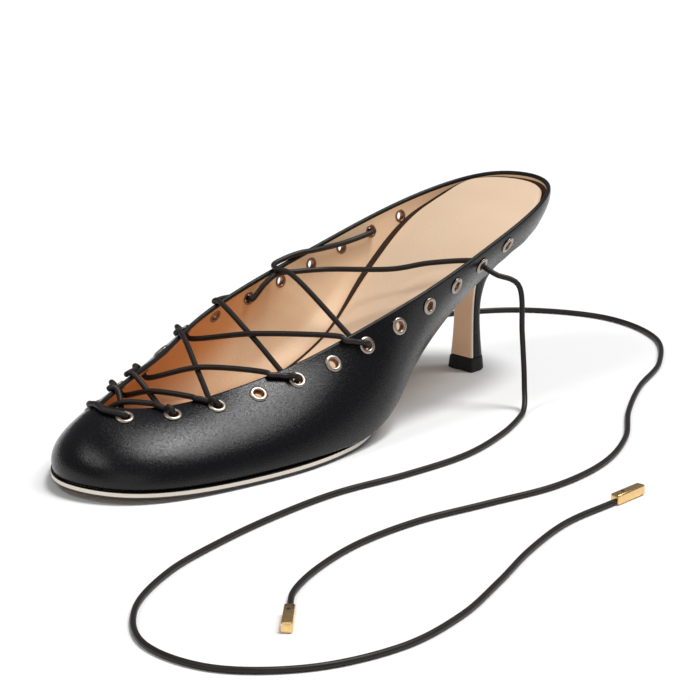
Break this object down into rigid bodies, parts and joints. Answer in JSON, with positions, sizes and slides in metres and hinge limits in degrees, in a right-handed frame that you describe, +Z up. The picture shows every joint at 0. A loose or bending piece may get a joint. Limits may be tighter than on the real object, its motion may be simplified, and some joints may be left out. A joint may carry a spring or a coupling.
{
  "type": "lace-up heeled pump",
  "caption": "Low-cut round-toe leather pump on a slim curved heel, laced criss-cross over a V throat through metal eyelets, with long tipped ankle ties.",
  "frame": {"origin": "On the floor under the middle of the shoe's box, measured without the free ties", "axes": "+X to the toe, +Y to the outer side of the foot, +Z up"},
  "size_m": [0.3494, 0.2192, 0.068],
  "materials": {
    "black_leather": "smooth black with a soft gloss",
    "sole_leather": "smooth tan",
    "insole_sock": "matt beige",
    "heel_cover": "smooth black with a soft gloss",
    "breast_leather": "smooth tan",
    "lift_rubber": "matt black",
    "pale_gold": "polished pale gold",
    "tip_gold": "polished gold",
    "lace_cord": "round black cord"
  },
  "bodies": {
    "root": {"upper": "black_leather", "outsole": "sole_leather", "insole": "insole_sock", "heel": "heel_cover", "heel_breast": "breast_leather", "top_lift": "lift_rubber", "eyelet_outer_01": "pale_gold", "eyelet_outer_02": "pale_gold", "eyelet_outer_03": "pale_gold", "eyelet_outer_04": "pale_gold", "eyelet_outer_05": "pale_gold", "eyelet_outer_06": "pale_gold", "eyelet_outer_07": "pale_gold", "eyelet_outer_08": "pale_gold", "eyelet_outer_09": "pale_gold", "eyelet_outer_10": "pale_gold", "eyelet_outer_11": "pale_gold", "eyelet_outer_12": "pale_gold", "eyelet_inner_01": "pale_gold", "eyelet_inner_02": "pale_gold", "eyelet_inner_03": "pale_gold", "eyelet_inner_04": "pale_gold", "eyelet_inner_05": "pale_gold", "eyelet_inner_06": "pale_gold", "eyelet_inner_07": "pale_gold", "eyelet_inner_08": "pale_gold", "eyelet_inner_09": "pale_gold", "eyelet_inner_10": "pale_gold", "eyelet_inner_11": "pale_gold", "eyelet_inner_12": "pale_gold", "lace_toe_bar": "lace_cord", "lace_cross_1": "lace_cord", "lace_cross_2": "lace_cord", "lace_cross_3": "lace_cord", "lace_cross_4": "lace_cord", "lace_cross_5": "lace_cord", "tie_outer": "lace_cord", "tie_inner": "lace_cord", "tip_outer": "tip_gold", "tip_inner": "tip_gold"}
  },
  "joints": []
}
